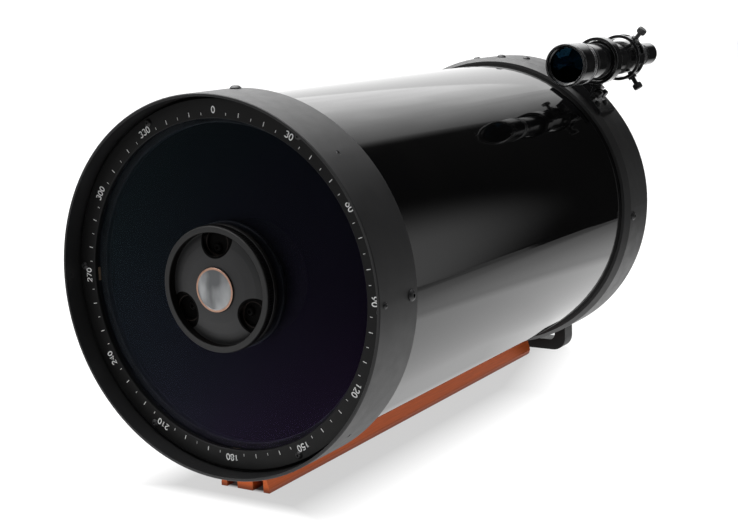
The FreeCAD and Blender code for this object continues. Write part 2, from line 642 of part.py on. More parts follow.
def dovetail_bar():
    half, rise, slope = size("bar_half_width"), size("bar_rise"), size("bar_slope")
    start, length = size("bar_start"), size("bar_end") - size("bar_start")
    low = Size(0, "0") - size("axis_height")
    flange, rib, channel = half - 5.3, 7.0, 9.0
    right = [(rib, low), (rib, low + channel), (flange, low + channel), (flange, low), (half, low),
             (half, low + 3), (half - slope, low + rise)]
    left = [(Size(0, "0") - corner[0], corner[1]) for corner in reversed(right)]
    body = extruded("bar_body", right + left, start, length)
    saddle = rod(CELL_R + 0.06, 0, 600)
    holes = bar_screw_holes()
    holes += [spoke(4.6, 151.4, 158, 180, station) for station in BAR_SCREW_STATIONS]
    end, low_edge = float(size("bar_end")), -float(size("axis_height"))
    nose = 7.0
    rounding = Part.makeBox(60, nose, nose, Vector(-30, end - nose, low_edge)).cut(
        Part.makeCylinder(nose, 60, Vector(-30, end - nose, low_edge + nose), Vector(1, 0, 0)))
    drilled("dovetail_bar", body, [saddle, rounding] + holes)
    long_screw = round_screw(4.4, 3.6, 2.5, 16.6, 2.0)
    group("bar_screws", [radial_screw(long_screw, 151.5, 180, station) for station in BAR_SCREW_STATIONS])


# ---------------------------------------------------------------- finder

def finder_shoe():
    """A saddle plate on the rear cell with a dovetail channel along the tube."""
    start, length, block_length = 449.5, 36.0, 21.5
    section = [(-9.8, 138.0), (9.8, 138.0), (9.8, 153.0), (5.9, 153.0), (7.6, 146.0), (-7.6, 146.0),
               (-5.9, 153.0), (-9.8, 153.0)]
    block = extruded("shoe_block", section, start, block_length)
    plate = doc.addObject("Part::Feature", "shoe_plate")
    outline = Part.makeBox(54.0, length, 20.0, Vector(-27.0, start, 128.0))
    plate.Shape = rod(142.8, start, start + length).common(outline)
    both = joined("shoe_joined", [block, plate])
    base = rod(CELL_R + 0.05, start - 5, start + length + 5)
    local = [spoke(1.35, 136, 144, angle, station) for angle in SHOE_SCREW_ANGLES
             for station in SHOE_SCREW_STATIONS]
    clamp = [Part.makeCylinder(1.55, 6, Vector(5.6, station, 149.5), Vector(1, 0, 0))
             for station in CLAMP_STATIONS]
    drilled("finder_shoe", both, [base] + local + clamp, SHOE_FRAME)
    screw = round_screw(3.1, 1.6, 1.25, 8.6, 1.2)
    group("finder_shoe_screws", [radial_screw(screw, 142.85, angle, station) for angle in SHOE_SCREW_ANGLES
                                 for station in SHOE_SCREW_STATIONS], SHOE_FRAME)
    profile = [(0, 6.95), (1.5, 6.95), (1.5, 11.6), (3.4, 11.6), (3.8, 12.0), (3.8, 15.6), (3.4, 16.0),
               (0, 16.0), (0, 6.95)]
    clamp_screw = Part.Face(Part.makePolygon([Vector(r, 0, z) for r, z in profile])).revolve(
        Vector(), Vector(0, 0, 1), 360)
    group("shoe_clamp_screws", [placed(clamp_screw, Vector(0, station, 149.5), Vector(1, 0, 0))
                                for station in CLAMP_STATIONS], SHOE_FRAME)


CLAMP_STATIONS = [454.5, 466.5]
RING_OUTER, RING_INNER = 21.0, 18.2


def finder_bracket():
    """Two rings on a web, with a dovetail foot that slides in the shoe."""
    reach = float(size("finder_reach"))
    foot = extruded("bracket_foot", [(-7.3, 146.3), (7.3, 146.3), (5.7, 153.0), (5.7, 154.0),
                                       (-5.7, 154.0), (-5.7, 153.0)], 450.0, 20.5)
    web = side_plate("bracket_web", [
        (425.0, 161.0), (444.0, 153.3), (470.5, 153.3), (470.5, 155.5), (480.0, 160.0), (492.0, 160.0),
        (492.0, 163.0), (425.0, 163.0)], 13.0)
    rings = []
    for name, start, end in (("bracket_front_ring", 425.0, 436.0), ("bracket_rear_ring", 478.5, 492.0)):
        ring = turned(name, [(RING_INNER, start), (RING_OUTER, start), (RING_OUTER, end), (RING_INNER, end)],
                      keep=False)
        ring.Placement = Placement(Vector(0, 0, reach), Rotation())
        rings.append(ring)
    bosses = doc.addObject("Part::Feature", "bracket_bosses")
    station = float(size("finder_screw_station"))
    centre = Vector(0, 0, reach)
    boss_shapes, holes = [], []
    for angle in screw_angles():
        boss = spoke(4.0, RING_INNER + 0.4, RING_OUTER + 2.0, angle, station)
        hole = spoke(2.04, RING_INNER - 4, RING_OUTER + 4, angle, station)
        boss.translate(centre)
        hole.translate(centre)
        boss_shapes.append(boss)
        holes.append(hole)
    bosses.Shape = Part.makeCompound(boss_shapes)
    casting = joined("bracket_casting", [foot, web, bosses] + rings)
    for angle in (-128, -78, -30, 30, 78, 128):
        window = Part.makeBox(8.4, 9.0, 8.0, Vector(-4.2, station - 4.5, RING_INNER - 3))
        window.rotate(Vector(), AXIS, angle)
        window.translate(centre)
        holes.append(window)
    holes += [rod(RING_INNER, 400, 500, (0, reach))]
    drilled("finder_bracket", casting, holes, SHOE_FRAME)
    for number, angle in enumerate(screw_angles(), start=1):
        frame = FINDER_FRAME.multiply(Placement(Vector(0, station, 0), Rotation(AXIS, angle)))
        thumbscrew("finder_thumbscrew_%d" % number, 15.75, 28.5, 4.0, 5.5, frame)


def screw_angles():
    spread = float(size("finder_screw_angle"))
    return [0.0, spread, -spread]


def finder():
    front = size("finder_front")
    turned("finder_objective_cell", [
        (16.8, front), (18.0, front), (18.4, front + 0.4), (18.4, front + 23.0), (15.45, front + 23.0),
        (15.45, front + 9.0), (13.4, front + 9.0), (13.4, front + 7.6), (15.4, front + 7.6),
        (15.4, front + 3.6), (16.4, front + 3.0)], FINDER_FRAME)
    turned("finder_objective_lens", [(0, front + 2.6), (8.0, front + 3.0), (14.95, front + 4.4),
                                     (14.95, front + 7.5), (0, front + 7.5)], FINDER_FRAME)
    turned("finder_lock_ring", [
        (15.45, front + 23.4), (18.0, front + 23.4), (18.4, front + 23.8), (18.4, front + 25.2),
        (17.5, front + 25.6), (17.5, front + 26.6), (18.4, front + 27.0), (18.4, front + 28.4),
        (18.0, front + 28.8), (15.45, front + 28.8)], FINDER_FRAME)
    groove = size("finder_pivot")
    turned("finder_tube", [
        (13.6, front + 11.0), (15.4, front + 11.0), (15.4, front + 29.2), (16.2, front + 29.6),
        (16.2, front + 37.4), (15.7, front + 37.9), (15.7, front + 39.1), (16.2, front + 39.6),
        (16.2, groove - 1.5), (15.6, groove - 1.5), (15.6, groove + 1.5), (16.2, groove + 1.5),
        (16.2, groove + 6.0), (15.4, groove + 9.0), (15.4, 498.0), (14.4, 499.0), (10.6, 500.0),
        (10.6, 520.0), (9.0, 520.0), (9.0, 497.5), (13.4, 495.5), (13.6, groove + 6.0)], FINDER_FRAME)
    ring = doc.addObject("Part::Torus", "finder_bracket_oring")
    ring.Radius1 = 16.75
    ring.Radius2 = 1.1
    frame = FINDER_FRAME.multiply(Placement(Vector(0, float(groove), 0), Rotation(Vector(1, 0, 0), 90)))
    finish(ring, "finder_bracket_oring", frame)
    turned("finder_eyepiece", [
        (7.2, 512.0), (8.95, 512.0), (8.95, 520.3), (10.6, 520.3), (10.6, 527.0), (10.0, 527.6),
        (10.0, 530.0), (10.8, 531.0), (10.8, 552.0), (9.8, 553.0), (6.4, 553.0), (6.0, 550.0),
        (6.8, 550.0), (6.8, 528.0), (7.2, 526.0)], FINDER_FRAME)
    eye_lens = [(0, 544.6), (6.75, 545.6), (6.75, 549.0), (3.0, 549.6), (0, 549.9)]
    turned("finder_eye_lens", eye_lens, FINDER_FRAME)


# ---------------------------------------------------------------- build, check and write

for build in (front_cell, corrector, secondary, tube, rear_cell, rear_fittings, rear_handle, primary, focuser,
              dovetail_bar, finder_shoe, finder_bracket, finder):
    build()

doc.recompute()

faults = [item.Name for item in doc.Objects if "Invalid" in item.State or "Error" in item.State]
for item in sub_parts:
    if item.Shape.isNull() or not item.Shape.isValid() or not item.Shape.Solids:
        faults.append(item.Label)
if faults:
    raise RuntimeError("failed objects: " + ", ".join(faults))

os.makedirs("parts", exist_ok=True)
for item in sub_parts:
    item.Shape.exportStep(os.path.join("parts", item.Label + ".step"))
print("sub-parts written: %d" % len(sub_parts))
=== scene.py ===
"""The looks of a Schmidt-Cassegrain telescope tube with its finder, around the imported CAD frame.  Metres."""

import json
import math

import bmesh
import bpy
from mathutils import Matrix, Vector


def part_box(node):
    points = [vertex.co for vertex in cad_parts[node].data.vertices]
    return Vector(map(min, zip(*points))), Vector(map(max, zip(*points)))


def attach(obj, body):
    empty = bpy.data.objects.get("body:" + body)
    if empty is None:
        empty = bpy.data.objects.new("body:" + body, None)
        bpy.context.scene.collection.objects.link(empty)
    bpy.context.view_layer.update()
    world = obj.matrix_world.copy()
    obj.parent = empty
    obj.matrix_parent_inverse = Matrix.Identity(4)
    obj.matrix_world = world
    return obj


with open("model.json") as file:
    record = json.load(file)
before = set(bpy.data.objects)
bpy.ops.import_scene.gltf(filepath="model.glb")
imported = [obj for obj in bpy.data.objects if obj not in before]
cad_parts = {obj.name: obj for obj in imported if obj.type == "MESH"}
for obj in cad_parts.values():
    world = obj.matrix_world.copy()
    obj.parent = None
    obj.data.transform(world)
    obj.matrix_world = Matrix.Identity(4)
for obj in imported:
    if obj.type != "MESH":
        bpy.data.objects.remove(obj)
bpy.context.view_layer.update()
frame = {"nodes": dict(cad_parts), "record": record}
NODES = frame["nodes"]

MM = 0.001
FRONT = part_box("front_cell")[0].y
AXIS_Z = sum(corner.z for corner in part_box("optical_tube")) / 2
FINDER_X = sum(corner.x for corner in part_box("finder_tube")) / 2
FINDER_Z = sum(corner.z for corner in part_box("finder_tube")) / 2
FOCUS_X = sum(corner.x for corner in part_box("focus_knob")) / 2
FOCUS_Z = sum(corner.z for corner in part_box("focus_knob")) / 2
BAR_FRONT, BAR_BACK = (corner.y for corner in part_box("dovetail_bar"))
FINDER_TURN = math.atan2(FINDER_X, FINDER_Z - AXIS_Z)


def station(distance):
    """The Y of a plane that lies a distance in mm behind the front lip."""
    return FRONT + distance * MM


# ---------------------------------------------------------------- shader building

class Shader:
    """One procedural material, made from places on the object itself."""

    def __init__(self, name):
        self.material = bpy.data.materials.new(name)
        self.material.use_nodes = True
        self.tree = self.material.node_tree
        self.tree.nodes.clear()
        self.output = self.node("ShaderNodeOutputMaterial")
        self.place = self.node("ShaderNodeTexCoord").outputs["Object"]

    def node(self, kind, **settings):
        made = self.tree.nodes.new(kind)
        for key, value in settings.items():
            setattr(made, key, value)
        return made

    def put(self, socket, value):
        """Links a socket, or sets a plain value or colour."""
        if isinstance(value, bpy.types.NodeSocket):
            self.tree.links.new(value, socket)
        elif isinstance(value, tuple) and len(value) == 3 and socket.type == "RGBA":
            socket.default_value = (*value, 1.0)
        else:
            socket.default_value = value

    def math(self, operation, first, second=0.0):
        """One sum on two values or sockets."""
        node = self.node("ShaderNodeMath", operation=operation)
        self.put(node.inputs[0], first)
        self.put(node.inputs[1], second)
        return node.outputs[0]

    def stretched(self, scale):
        node = self.node("ShaderNodeMapping")
        self.put(node.inputs["Vector"], self.place)
        node.inputs["Scale"].default_value = scale
        return node.outputs[0]

    def noise(self, scale, detail=3.0, where=None):
        node = self.node("ShaderNodeTexNoise")
        self.put(node.inputs["Vector"], where or self.place)
        node.inputs["Scale"].default_value = scale
        node.inputs["Detail"].default_value = detail
        node.inputs["Roughness"].default_value = 0.5
        return node.outputs["Fac"]

    def spread(self, value, low, high, start=0.3, end=0.7):
        """Turns the range start..end of a value into low..high."""
        node = self.node("ShaderNodeMapRange")
        self.put(node.inputs["Value"], value)
        node.inputs["From Min"].default_value = start
        node.inputs["From Max"].default_value = end
        node.inputs["To Min"].default_value = low
        node.inputs["To Max"].default_value = high
        return node.outputs["Result"]

    def mix(self, share, first, second):
        """A colour between the first (share 0) and the second (share 1)."""
        node = self.node("ShaderNodeMix", data_type="RGBA")
        colour_a, colour_b, colour_result = 6, 7, 2
        self.put(node.inputs["Factor"], share)
        self.put(node.inputs[colour_a], first)
        self.put(node.inputs[colour_b], second)
        return node.outputs[colour_result]

    def blend(self, share, first, second):
        """A shader between the first (share 0) and the second (share 1)."""
        node = self.node("ShaderNodeMixShader")
        self.put(node.inputs[0], share)
        self.tree.links.new(first, node.inputs[1])
        self.tree.links.new(second, node.inputs[2])
        return node.outputs[0]

    def coordinate(self, letter):
        """One of the place's X, Y and Z."""
        parts = self.node("ShaderNodeSeparateXYZ")
        self.put(parts.inputs[0], self.place)
        return parts.outputs[letter]

    def axis_distance(self, x, z):
        """Distance from a line along Y."""
        across = self.math("SUBTRACT", self.coordinate("X"), x)
        up = self.math("SUBTRACT", self.coordinate("Z"), z)
        squares = self.math("ADD", self.math("MULTIPLY", across, across), self.math("MULTIPLY", up, up))
        return self.math("SQRT", squares)

    def rounded(self, radius):
        """The normal with softened edges, and how close a point is to such an edge (0..1)."""
        bevel = self.node("ShaderNodeBevel", samples=4)
        bevel.inputs["Radius"].default_value = radius
        plain = self.node("ShaderNodeNewGeometry").outputs["Normal"]
        dot = self.node("ShaderNodeVectorMath", operation="DOT_PRODUCT")
        self.tree.links.new(bevel.outputs[0], dot.inputs[0])
        self.tree.links.new(plain, dot.inputs[1])
        sharp, flat = 0.80, 0.995
        return bevel.outputs[0], self.spread(dot.outputs["Value"], 1.0, 0.0, sharp, flat)

    def bump(self, height, depth, normal=None):
        """The normal of a relief whose full height is depth metres."""
        node = self.node("ShaderNodeBump")
        node.inputs["Strength"].default_value = 1.0
        node.inputs["Distance"].default_value = depth
        self.put(node.inputs["Height"], height)
        if normal is not None:
            self.put(node.inputs["Normal"], normal)
        return node.outputs[0]

    def surface(self, colour, roughness, metallic=0.0, specular=0.5, normal=None, coat=0.0,
                coat_roughness=0.05):
        node = self.node("ShaderNodeBsdfPrincipled")
        self.put(node.inputs["Base Color"], colour)
        self.put(node.inputs["Roughness"], roughness)
        self.put(node.inputs["Metallic"], metallic)
        self.put(node.inputs["Specular IOR Level"], specular)
        self.put(node.inputs["Coat Weight"], coat)
        self.put(node.inputs["Coat Roughness"], coat_roughness)
        if normal is not None:
            self.put(node.inputs["Normal"], normal)
        return node.outputs[0]

    def coating(self, cast, roughness, clear_tint, share):
        """Coloured shine over tinted clear glass; share is the part that shines."""
        shine = self.node("ShaderNodeBsdfGlossy")
        self.put(shine.inputs["Color"], cast)
        self.put(shine.inputs["Roughness"], roughness)
        clear = self.node("ShaderNodeBsdfTransparent")
        self.put(clear.inputs["Color"], clear_tint)
        return self.done(self.blend(share, clear.outputs[0], shine.outputs[0]))

    def fresnel(self, index):
        node = self.node("ShaderNodeFresnel")
        node.inputs["IOR"].default_value = index
        return node.outputs[0]

    def done(self, surface):
        self.tree.links.new(surface, self.output.inputs["Surface"])
        return self.material


def grey(level, blue=0.0):
    """A neutral colour, with its blue raised a little where asked."""
    return (level, level, level + blue)


def coated(name, dark, light, rough, grain_scale, grain_depth, edge=None, edge_radius=0.5 * MM, metallic=0.0,
           specular=0.5, coat=0.0):
    """A painted, anodised or moulded finish: clouded tone, fine grain, and softened edges with a painted
    highlight along them.
    """
    s = Shader(name)
    cloud = 18.0
    tone = s.mix(s.spread(s.noise(cloud), 0.0, 1.0), dark, light)
    grain = s.noise(grain_scale, 2.0)
    normal, nearness = s.rounded(edge_radius)
    # the edge colour is a painted highlight where the softened edges are
    if edge is not None:
        tone = s.mix(nearness, tone, edge)
    sheen = s.spread(s.noise(cloud * 5), rough[0], rough[1])
    roughness = s.math("ADD", sheen, s.spread(grain, -0.02, 0.02))
    normal = s.bump(grain, grain_depth, normal)
    return s.done(s.surface(tone, roughness, metallic, specular, normal, coat))


def tube_finish():
    """Gloss black enamel outside, flat black paint inside the tube."""
    s = Shader("tube_enamel")
    orange_peel = s.noise(260, 2.0)
    tone = s.mix(s.spread(s.noise(9), 0.0, 1.0), grey(0.0012, 0.0002), (0.0022, 0.0021, 0.0021))
    roughness = s.spread(s.noise(40, 4.0), 0.035, 0.06)
    gloss = s.surface(tone, roughness, normal=s.bump(orange_peel, 0.0035 * MM), coat=0.25, coat_roughness=0.03)
    grain = s.noise(1800, 2.0)
    matte = s.surface(s.mix(grain, grey(0.006), grey(0.012)), 0.9, specular=0.15,
                      normal=s.bump(grain, 0.04 * MM))
    wall_inside, wall_outside = 132.4 * MM, 132.8 * MM
    outer_side = s.spread(s.axis_distance(0.0, AXIS_Z), 0.0, 1.0, wall_inside, wall_outside)
    return s.done(s.blend(outer_side, matte, gloss))


def orange_finish():
    """Burnt-orange anodising over drawn aluminium: draw lines along Y, a painted highlight along the edges and
    painted shade darkening the foot.
    """
    s = Shader("orange_anodised")
    lines = s.noise(60, 4.0, s.stretched((22.0, 0.6, 22.0)))
    normal, nearness = s.rounded(0.5 * MM)
    tone = s.mix(s.spread(lines, 0.0, 1.0), (0.72, 0.128, 0.020), (0.86, 0.168, 0.030))
    # painted highlight along the edges
    tone = s.mix(nearness, tone, (0.80, 0.30, 0.10))
    # painted shade: the bar is darkened towards its foot, where the floor would light it
    foot = s.spread(s.coordinate("Z"), 1.0, 0.0, 1.5 * MM, 4.5 * MM)
    tone = s.mix(foot, tone, (0.34, 0.060, 0.010))
    roughness = s.spread(lines, 0.30, 0.42)
    return s.done(s.surface(tone, roughness, metallic=0.45, normal=s.bump(lines, 0.012 * MM, normal), coat=0.1,
                            coat_roughness=0.2))


def corrector_finish():
    """Coated glass: nearly clear, with a faint navy to violet cast that drifts across the plate."""
    s = Shader("corrector_coating")
    slant = s.math("SUBTRACT", s.coordinate("X"), s.math("SUBTRACT", s.coordinate("Z"), AXIS_Z))
    drift = s.math("ADD", slant, s.spread(s.noise(7), -0.03, 0.03))
    cast = s.mix(s.spread(drift, 0.0, 1.0, -0.13, 0.16), (0.52, 0.80, 0.92), (0.66, 0.42, 0.98))
    index, gain, most = 1.12, 1.5, 0.07
    share = s.math("MINIMUM", s.math("MULTIPLY", s.fresnel(index), gain), most)
    return s.coating(cast, s.spread(s.noise(30), 0.24, 0.30), (0.84, 0.86, 0.90), share)


def lens_finish():
    """The finder's lenses: deep blue coating over a dark barrel."""
    s = Shader("lens_coating")
    cast = s.mix(s.spread(s.noise(60), 0.0, 1.0), (0.02, 0.09, 0.20), (0.05, 0.20, 0.30))
    glass_index = 1.5
    return s.coating(cast, 0.03, (0.16, 0.18, 0.28), s.fresnel(glass_index))


def mirror_finish():
    """Aluminised glass with a faint haze."""
    s = Shader("aluminised_glass")
    haze = s.spread(s.noise(50, 4.0), 0.012, 0.04)
    tone = s.mix(s.spread(s.noise(12), 0.0, 1.0), (0.86, 0.87, 0.88), grey(0.93))
    return s.done(s.surface(tone, haze, metallic=1.0))


def cork_finish():
    """Pressed cork crumbs."""
    s = Shader("cork")
    crumbs = s.noise(900)
    tone = s.mix(crumbs, (0.22, 0.13, 0.07), (0.52, 0.36, 0.22))
    return s.done(s.surface(tone, 0.9, specular=0.2, normal=s.bump(crumbs, 0.2 * MM)))


def cap_finish():
    """A pearl disc with soft swirled shading inside a copper rim."""
    s = Shader("cap_pearl")
    radius = s.axis_distance(0.0, AXIS_Z)
    swirl = s.noise(95, 1.5, s.stretched((1.0, 1.0, 0.45)))
    pearl = s.mix(s.spread(swirl, 0.0, 1.0, 0.35, 0.65), (0.13, 0.135, 0.14), (0.46, 0.47, 0.48))
    copper = s.mix(s.spread(s.noise(300), 0.0, 1.0), (0.50, 0.29, 0.21), (0.62, 0.38, 0.28))
    rim = s.spread(radius, 0.0, 1.0, 14.5 * MM, 14.75 * MM)
    side = s.spread(radius, 0.0, 1.0, 16.05 * MM, 16.15 * MM)
    tone = s.mix(side, s.mix(rim, pearl, copper), grey(0.03))
    normal = s.bump(s.noise(1500, 2.0), 0.01 * MM, s.rounded(0.3 * MM)[0])
    metallic = s.spread(rim, 0.35, 0.8, 0.0, 1.0)
    return s.done(s.surface(tone, s.spread(swirl, 0.30, 0.45), metallic, normal=normal))


def hub_finish():
    """Satin grey on the front rim of the secondary's ring, with painted shade making the side and inner wall
    nearly black, and painted highlights along the edges.
    """
    s = Shader("hub_satin")
    radius = s.axis_distance(0.0, AXIS_Z)
    # painted shade: the side and the inner wall take the nearly black colour, only the rim between them keeps
    # the satin grey
    beyond_wall = s.spread(radius, 0.0, 1.0, 41.4 * MM, 41.9 * MM)
    within_side = s.spread(radius, 1.0, 0.0, 45.7 * MM, 46.0 * MM)
    rim = s.math("MULTIPLY", beyond_wall, within_side)
    face = s.mix(s.spread(s.noise(18), 0.0, 1.0), grey(0.017, 0.0002), grey(0.021, 0.0002))
    wall = s.mix(s.spread(s.noise(40), 0.0, 1.0), (0.0014, 0.0012, 0.0012), (0.0024, 0.0021, 0.0021))
    normal, nearness = s.rounded(0.4 * MM)
    # painted highlights along the edges
    wall = s.mix(nearness, wall, (0.020, 0.019, 0.019))
    face = s.mix(nearness, face, grey(0.045, 0.001))
    grain = s.noise(2400, 2.0)
    return s.done(s.surface(s.mix(rim, wall, face), s.spread(grain, 0.48, 0.58),
                            specular=s.spread(rim, 0.10, 0.42, 0.0, 1.0),
                            normal=s.bump(grain, 0.014 * MM, normal)))


def disc_finish():
    """Satin grey on the secondary's domed disc, with painted shade in flat black in and around its three
    scoops, a thin lighter ring as a painted highlight round each well, and painted highlights along the edges.
    """
    s = Shader("hub_disc")
    scoop_reach, scoop_edge = 36.0 * MM, (13.65 * MM, 13.85 * MM)
    step_reach, step_radius, step_width = 33.5 * MM, 9.4 * MM, (0.15 * MM, 0.4 * MM)
    tone = s.mix(s.spread(s.noise(18), 0.0, 1.0), grey(0.026, 0.001), grey(0.034, 0.001))
    shine = 0.4
    normal, nearness = s.rounded(0.4 * MM)
    # painted highlight along the edges
    tone = s.mix(nearness, tone, grey(0.07, 0.003))
    for degrees in (0.0, 120.0, 240.0):
        across, up = math.sin(math.radians(degrees)), math.cos(math.radians(degrees))
        from_scoop = s.axis_distance(scoop_reach * across, AXIS_Z + scoop_reach * up)
        from_step = s.axis_distance(step_reach * across, AXIS_Z + step_reach * up)
        # painted shade: flat black in each scoop and a band round it, a little wider than the cut, with its
        # shine cut; a thin lighter ring round the well is a painted highlight
        scoop_shade = s.spread(from_scoop, 1.0, 0.0, *scoop_edge)
        step_highlight = s.spread(s.math("ABSOLUTE", s.math("SUBTRACT", from_step, step_radius)), 1.0, 0.0, *step_width)
        tone = s.mix(scoop_shade, tone, s.mix(step_highlight, (0.0012, 0.0010, 0.0010), (0.026, 0.021, 0.019)))
        shine = s.math("MULTIPLY", shine, s.math("SUBTRACT", 1.0, s.math("MULTIPLY", scoop_shade, 0.9)))
    grain = s.noise(2400, 2.0)
    return s.done(s.surface(tone, s.spread(grain, 0.48, 0.6), specular=shine,
                            normal=s.bump(grain, 0.012 * MM, normal)))


# in each coated finish the colour that follows the grain depth is a painted highlight along the softened edges
FINISH = {
    "black_cast": coated("cast_satin_black", grey(0.0115, 0.0005), grey(0.0145, 0.0005), (0.42, 0.48), 1500,
                         0.030 * MM, grey(0.045, 0.002), specular=0.44),
    "black_tube": tube_finish(),
    "black_anodised": coated("black_anodised", grey(0.006, 0.0005), grey(0.010, 0.001), (0.17, 0.23), 2600,
                             0.005 * MM, grey(0.10, 0.005), 0.3 * MM, specular=0.6, coat=0.3),
    "orange_anodised": orange_finish(),
    "corrector_glass": corrector_finish(),
    "lens_glass": lens_finish(),
    "mirror": mirror_finish(),
    "black_screws": coated("black_oxide", grey(0.006, 0.0005), grey(0.014, 0.001), (0.30, 0.42), 3000,
                           0.010 * MM, grey(0.09, 0.005), 0.25 * MM),
    "steel_screws": coated("zinc_plate", grey(0.30, 0.01), grey(0.46, 0.01), (0.24, 0.36), 2400,
                           0.008 * MM, grey(0.62, 0.01), 0.25 * MM, metallic=1.0),
    "bearing_steel": coated("bearing_steel", (0.55, 0.56, 0.58), grey(0.66, 0.02), (0.08, 0.16), 2000,
                            0.003 * MM, None, 0.2 * MM, metallic=1.0),
    "brass": coated("brass", (0.52, 0.36, 0.13), (0.66, 0.48, 0.20), (0.22, 0.34), 2200,
                    0.008 * MM, (0.75, 0.58, 0.28), 0.3 * MM, metallic=1.0),
    "gasket": coated("gasket", grey(0.008), grey(0.016), (0.75, 0.9), 1200, 0.05 * MM),
    "cork": cork_finish(),
    "rubber": coated("rubber", grey(0.007), grey(0.014), (0.55, 0.72), 1400, 0.03 * MM, grey(0.03)),
    "black_plastic": coated("satin_plastic", grey(0.008, 0.0005), grey(0.013, 0.001), (0.34, 0.44), 2200,
                            0.014 * MM, grey(0.04, 0.002)),
    "cap_metal": cap_finish(),
    "machined": coated("machined_aluminium", grey(0.42, 0.01), grey(0.56, 0.01), (0.25, 0.38), 1800,
                       0.010 * MM, grey(0.7), 0.3 * MM, metallic=1.0),
}
HUB_SATIN = hub_finish()
HUB_DISC = disc_finish()
# here too the colour that follows the grain depth is a painted highlight along the edges
RING_BLACK = coated("ring_black", grey(0.0034, 0.0002), grey(0.0052, 0.0002), (0.42, 0.5), 2200,
                    0.014 * MM, grey(0.020, 0.001), 0.4 * MM, specular=0.22)
# black oxide made darker still as painted shade, for the collimation screws deep in the scoops
WELL_SHADE_BLACK = coated("well_shade_black", grey(0.0010), (0.0022, 0.0020, 0.0020), (0.5, 0.6), 2400,
                    0.010 * MM, (0.02, 0.018, 0.017), 0.2 * MM, specular=0.08)
REAR_CAST = coated("cast_rear_black", grey(0.0135, 0.0005), grey(0.0175, 0.0005), (0.40, 0.48), 1500,
                   0.035 * MM, grey(0.05, 0.002))
HANDLE_BLACK = coated("handle_black", grey(0.0040, 0.0002), grey(0.0060, 0.0002), (0.45, 0.55), 1500,
                      0.020 * MM, grey(0.015), 0.4 * MM, specular=0.3)
BARREL_BLACK = coated("barrel_black", grey(0.0040, 0.0003), grey(0.0065, 0.0005), (0.13, 0.19), 2600,
                      0.004 * MM, grey(0.40, 0.01), 0.35 * MM, specular=0.6, coat=0.4)
MARKING = coated("white_print", (0.86, 0.87, 0.87), grey(0.95), (0.45, 0.6), 2500, 0.008 * MM)

# nodes whose finish differs a little from the rest of their slot
OWN_FINISH = {
    "secondary_retaining_ring": HUB_SATIN,
    "secondary_housing": HUB_SATIN,
    "secondary_backplate": HUB_DISC,
    # painted shade: the collimation screws are darker than the other black screws
    "collimation_screw_1": WELL_SHADE_BLACK,
    "collimation_screw_2": WELL_SHADE_BLACK,
    "collimation_screw_3": WELL_SHADE_BLACK,
    "corrector_retaining_ring": RING_BLACK,
    "rear_cell": REAR_CAST,
    "rear_handle": HANDLE_BLACK,
    "finder_objective_cell": BARREL_BLACK,
    "finder_lock_ring": BARREL_BLACK,
    "finder_tube": BARREL_BLACK,
    "finder_bracket": BARREL_BLACK,
    "finder_eyepiece": BARREL_BLACK,
    "finder_shoe_screws": FINISH["black_screws"],
    "shoe_clamp_screws": FINISH["black_screws"],
}
for entry in frame["record"]["subparts"]:
    mesh = NODES[entry["node"]].data
    mesh.materials.clear()
    mesh.materials.append(OWN_FINISH.get(entry["node"], FINISH[entry["material_slot"]]))


# ---------------------------------------------------------------- pieces made in mesh code

class Axis:
    """A line in space with a round about it: spots are (along, radius, angle)."""

    def __init__(self, origin, direction):
        self.origin = Vector(origin)
        self.direction = Vector(direction).normalized()
        self.across = Vector((0, 0, 1)) if abs(self.direction.y) > 0.9 else Vector((0, 1, 0))
        self.third = self.direction.cross(self.across)

    def spot(self, along, radius, angle):
        outward = self.across * math.cos(angle) + self.third * math.sin(angle)
        return self.origin + self.direction * along + outward * radius


TUBE_AXIS = Axis((0, FRONT, AXIS_Z), (0, 1, 0))
FINDER_AXIS = Axis((FINDER_X, FRONT, FINDER_Z), (0, 1, 0))
FOCUS_AXIS = Axis((FOCUS_X, FRONT, FOCUS_Z), (0, 1, 0))


def add_piece(name, vertices, faces, material, body):
    """A mesh with its faces turned outward, that moves with a body."""
    mesh = bpy.data.meshes.new(name)
    mesh.from_pydata([tuple(v) for v in vertices], [], faces)
    mesh.materials.append(material)
    shape = bmesh.new()
    shape.from_mesh(mesh)
    bmesh.ops.recalc_face_normals(shape, faces=shape.faces)
    shape.to_mesh(mesh)
    shape.free()
    piece = bpy.data.objects.new(name, mesh)
    bpy.context.scene.collection.objects.link(piece)
    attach(piece, body)


def band_faces(rows, count):
    """Quads between rings of count points each; the last ring meets the first."""
    faces = []
    for row in range(rows):
        below, above = row * count, ((row + 1) % rows) * count
        for i in range(count):
            j = (i + 1) % count
            faces.append((below + i, below + j, above + j, above + i))
    return faces


def knurled_band(name, axis, radii, span, teeth, material, body):
    """A closed sleeve whose outside has teeth along the axis.  Sizes in mm.

    The radii are the bore's, the foot's and the tip's of the teeth; the span is (start, end).
    """
    bore, foot, tip = radii
    start, end = span
    flank = (foot + tip) / 2
    count = teeth * 4
    smooth = [bore] * count
    toothed = [foot, flank, tip, flank] * teeth
    chamfer = min(0.4, (end - start) / 6)
    rows = [(start, smooth), (start + chamfer, toothed), (end - chamfer, toothed), (end, smooth)]
    vertices = [axis.spot(along * MM, radius * MM, math.tau * i / count)
                for along, row in rows for i, radius in enumerate(row)]
    add_piece(name, vertices, band_faces(len(rows), count), material, body)


def turned_band(name, axis, outline, material, body, sides=128):
    """A closed (along, radius) outline in mm, turned about the axis."""
    vertices = [axis.spot(along * MM, radius * MM, math.tau * i / sides)
                for along, radius in outline for i in range(sides)]
    add_piece(name, vertices, band_faces(len(outline), sides), material, body)


